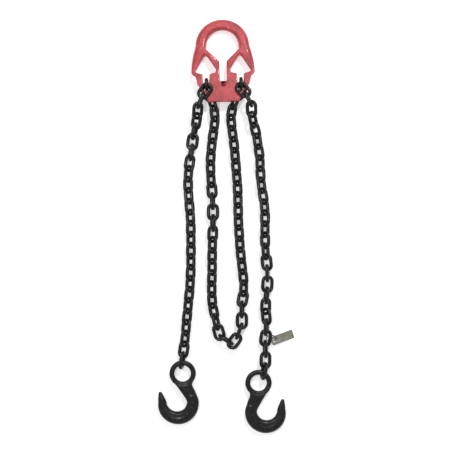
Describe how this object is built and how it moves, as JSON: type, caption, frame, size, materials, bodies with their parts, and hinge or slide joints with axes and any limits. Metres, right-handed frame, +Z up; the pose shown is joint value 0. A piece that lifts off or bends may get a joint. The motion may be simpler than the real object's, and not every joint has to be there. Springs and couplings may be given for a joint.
{
  "type": "chain sling with head plate, open hooks and identification tag",
  "caption": "Chain sling laid flat: a cast head plate with a large eye holds round-link chain in keyhole slots; each leg ends in an open hook and the spare chain hangs as a loop.",
  "frame": {"origin": "middle of the bounding box's underside, on the surface the sling lies on", "axes": "+X across the sling, +Y from the hooks towards the head plate, +Z up off the surface"},
  "size_m": [0.3624, 1.098, 0.0583],
  "materials": {
    "head_paint": "red gloss paint over a cast surface",
    "chain_black": "black lacquered alloy steel",
    "hook_black": "black painted forging",
    "tag_metal": "dull grey stamped plate"
  },
  "bodies": {
    "head": {"head_plate": "head_paint", "left_slot_link": "chain_black", "right_slot_link": "chain_black", "left_leg_link_01": "chain_black", "right_leg_link_01": "chain_black", "loop_links_01_02": "chain_black", "loop_links_03_04": "chain_black", "loop_links_05_06": "chain_black", "loop_links_43_44": "chain_black", "loop_links_45_46": "chain_black", "loop_links_47_48": "chain_black"},
    "left_leg_part_1": {"left_leg_links_02_03": "chain_black"},
    "left_leg_part_2": {"left_leg_links_04_05": "chain_black", "left_leg_links_06_07": "chain_black"},
    "left_leg_part_3": {"left_leg_links_08_09": "chain_black"},
    "left_leg_part_4": {"left_leg_links_10_11": "chain_black"},
    "left_leg_part_5": {"left_leg_links_12_13": "chain_black"},
    "left_leg_part_6": {"left_leg_links_14_15": "chain_black"},
    "left_leg_part_7": {"left_leg_links_16_17": "chain_black"},
    "left_leg_part_8": {"left_leg_links_18_19": "chain_black"},
    "left_leg_part_9": {"left_leg_links_20_21": "chain_black"},
    "left_leg_part_10": {"left_leg_links_22_23": "chain_black"},
    "left_leg_part_11": {"left_leg_links_24_25": "chain_black", "left_leg_link_26": "chain_black"},
    "left_hook_body": {"left_hook": "hook_black"},
    "right_leg_part_1": {"right_leg_links_02_03": "chain_black"},
    "right_leg_part_2": {"right_leg_links_04_05": "chain_black", "right_leg_links_06_07": "chain_black"},
    "right_leg_part_3": {"right_leg_links_08_09": "chain_black"},
    "right_leg_part_4": {"right_leg_links_10_11": "chain_black"},
    "right_leg_part_5": {"right_leg_links_12_13": "chain_black"},
    "right_leg_part_6": {"right_leg_links_14_15": "chain_black"},
    "right_leg_part_7": {"right_leg_links_16_17": "chain_black"},
    "right_leg_part_8": {"right_leg_links_18_19": "chain_black"},
    "right_leg_part_9": {"right_leg_links_20_21": "chain_black"},
    "right_leg_part_10": {"right_leg_links_22_23": "chain_black"},
    "right_leg_part_11": {"right_leg_links_24_25": "chain_black", "right_leg_links_26_27": "chain_black"},
    "right_hook_body": {"right_hook": "hook_black"},
    "loop_part_1": {"loop_links_07_08": "chain_black", "loop_links_09_10": "chain_black", "loop_links_11_12": "chain_black", "loop_links_37_38": "chain_black", "loop_links_39_40": "chain_black", "loop_links_41_42": "chain_black"},
    "loop_part_2": {"loop_links_13_14": "chain_black", "loop_links_15_16": "chain_black", "loop_links_17_18": "chain_black", "loop_links_31_32": "chain_black", "loop_links_33_34": "chain_black", "loop_links_35_36": "chain_black"},
    "loop_part_3": {"loop_links_19_20": "chain_black", "loop_links_21_22": "chain_black", "loop_links_23_24": "chain_black", "loop_links_25_26": "chain_black", "loop_links_27_28": "chain_black", "loop_links_29_30": "chain_black"},
    "tag_ring_body": {"tag_ring": "chain_black"},
    "tag_body": {"tag": "tag_metal"}
  },
  "joints": [
    {"name": "left_leg_swing_1", "type": "hinge", "parent": "head", "child": "left_leg_part_1", "pos_m": [-0.06359, 0.34313, 0.04364], "axis": [0, 0, -1], "range_deg": [0, 2]},
    {"name": "left_leg_lift_1", "type": "hinge", "parent": "left_leg_part_1", "child": "left_leg_part_2", "pos_m": [-0.07547, 0.29119, 0.03028], "axis": [-0.9909, 0.1349, 0], "range_deg": [0, 14]},
    {"name": "left_leg_swing_2", "type": "hinge", "parent": "left_leg_part_2", "child": "left_leg_part_3", "pos_m": [-0.09509, 0.18258, 0.01593], "axis": [0, 0, -1], "range_deg": [0, 20]},
    {"name": "left_leg_lift_2", "type": "hinge", "parent": "left_leg_part_3", "child": "left_leg_part_4", "pos_m": [-0.10157, 0.12523, 0.01356], "axis": [-0.9995, 0.0307, 0], "range_deg": [0, 20]},
    {"name": "left_leg_swing_3", "type": "hinge", "parent": "left_leg_part_4", "child": "left_leg_part_5", "pos_m": [-0.0985, 0.06696, 0.01364], "axis": [0, 0, -1], "range_deg": [0, 20]},
    {"name": "left_leg_lift_3", "type": "hinge", "parent": "left_leg_part_5", "child": "left_leg_part_6", "pos_m": [-0.09394, 0.00873, 0.01364], "axis": [-0.9993, -0.0367, 0], "range_deg": [0, 20]},
    {"name": "left_leg_swing_4", "type": "hinge", "parent": "left_leg_part_6", "child": "left_leg_part_7", "pos_m": [-0.09347, -0.04969, 0.01364], "axis": [0, 0, -1], "range_deg": [0, 20]},
    {"name": "left_leg_lift_4", "type": "hinge", "parent": "left_leg_part_7", "child": "left_leg_part_8", "pos_m": [-0.09366, -0.10813, 0.01364], "axis": [-0.9998, 0.0222, 0], "range_deg": [0, 20]},
    {"name": "left_leg_swing_5", "type": "hinge", "parent": "left_leg_part_8", "child": "left_leg_part_9", "pos_m": [-0.09667, -0.16647, 0.01364], "axis": [0, 0, -1], "range_deg": [0, 20]},
    {"name": "left_leg_lift_5", "type": "hinge", "parent": "left_leg_part_9", "child": "left_leg_part_10", "pos_m": [-0.10246, -0.22462, 0.01362], "axis": [-0.9955, 0.095, 0], "range_deg": [0, 18]},
    {"name": "left_leg_swing_6", "type": "hinge", "parent": "left_leg_part_10", "child": "left_leg_part_11", "pos_m": [-0.10764, -0.28282, 0.01388], "axis": [0, 0, -1], "range_deg": [0, 20]},
    {"name": "left_hook_swing", "type": "hinge", "parent": "left_leg_part_11", "child": "left_hook_body", "pos_m": [-0.11949, -0.37399, 0.01714], "axis": [0, 0, 1], "range_deg": [-12, 6]},
    {"name": "right_leg_swing_1", "type": "hinge", "parent": "head", "child": "right_leg_part_1", "pos_m": [0.054, 0.34716, 0.04364], "axis": [0, 0, 1], "range_deg": [0, 12]},
    {"name": "right_leg_lift_1", "type": "hinge", "parent": "right_leg_part_1", "child": "right_leg_part_2", "pos_m": [0.06678, 0.29463, 0.0317], "axis": [-0.9896, -0.1437, 0], "range_deg": [0, 14]},
    {"name": "right_leg_swing_2", "type": "hinge", "parent": "right_leg_part_2", "child": "right_leg_part_3", "pos_m": [0.09007, 0.18276, 0.01362], "axis": [0, 0, 1], "range_deg": [0, 20]},
    {"name": "right_leg_lift_2", "type": "hinge", "parent": "right_leg_part_3", "child": "right_leg_part_4", "pos_m": [0.09186, 0.12408, 0.01364], "axis": [-0.9959, -0.0901, 0], "range_deg": [0, 20]},
    {"name": "right_leg_swing_3", "type": "hinge", "parent": "right_leg_part_4", "child": "right_leg_part_5", "pos_m": [0.10086, 0.06606, 0.01364], "axis": [0, 0, 1], "range_deg": [0, 20]},
    {"name": "right_leg_lift_3", "type": "hinge", "parent": "right_leg_part_5", "child": "right_leg_part_6", "pos_m": [0.10314, 0.00748, 0.01363], "axis": [-1, 0.0043, 0], "range_deg": [0, 20]},
    {"name": "right_leg_swing_4", "type": "hinge", "parent": "right_leg_part_6", "child": "right_leg_part_7", "pos_m": [0.10341, -0.05127, 0.01409], "axis": [0, 0, 1], "range_deg": [0, 18]},
    {"name": "right_leg_lift_4", "type": "hinge", "parent": "right_leg_part_7", "child": "right_leg_part_8", "pos_m": [0.10898, -0.10926, 0.01682], "axis": [-0.9983, -0.0589, 0], "range_deg": [0, 14]},
    {"name": "right_leg_swing_5", "type": "hinge", "parent": "right_leg_part_8", "child": "right_leg_part_9", "pos_m": [0.10837, -0.16774, 0.01733], "axis": [0, 0, 1], "range_deg": [0, 18]},
    {"name": "right_leg_lift_5", "type": "hinge", "parent": "right_leg_part_9", "child": "right_leg_part_10", "pos_m": [0.10451, -0.22494, 0.01617], "axis": [-0.9986, -0.0528, 0], "range_deg": [0, 16]},
    {"name": "right_leg_swing_6", "type": "hinge", "parent": "right_leg_part_10", "child": "right_leg_part_11", "pos_m": [0.10607, -0.28098, 0.01743], "axis": [0, 0, 1], "range_deg": [0, 18]},
    {"name": "right_hook_swing", "type": "hinge", "parent": "right_leg_part_11", "child": "right_hook_body", "pos_m": [0.09628, -0.40264, 0.01684], "axis": [0, 0, 1], "range_deg": [-4, 12]},
    {"name": "loop_fold_1", "type": "hinge", "parent": "head", "child": "loop_part_1", "pos_m": [-0.00864, 0.20041, 0.01364], "axis": [-0.9977, -0.0677, 0], "range_deg": [0, 20]},
    {"name": "loop_fold_2", "type": "hinge", "parent": "loop_part_1", "child": "loop_part_2", "pos_m": [-0.00129, 0.02509, 0.01547], "axis": [-0.9977, -0.0403, 0.0548], "range_deg": [0, 20]},
    {"name": "loop_fold_3", "type": "hinge", "parent": "loop_part_2", "child": "loop_part_3", "pos_m": [0.00445, -0.15042, 0.01358], "axis": [-0.9996, -0.0283, 0.0013], "range_deg": [0, 18]},
    {"name": "tag_ring_swing", "type": "hinge", "parent": "right_leg_part_11", "child": "tag_ring_body", "pos_m": [0.11632, -0.29677, 0.01766], "axis": [-0.1152, -0.9933, -0.0033], "range_deg": [0, 12]},
    {"name": "tag_swing", "type": "hinge", "parent": "tag_ring_body", "child": "tag_body", "pos_m": [0.12682, -0.30341, 0.01041], "axis": [0, 0, 1], "range_deg": [-10, 10]}
  ]
}
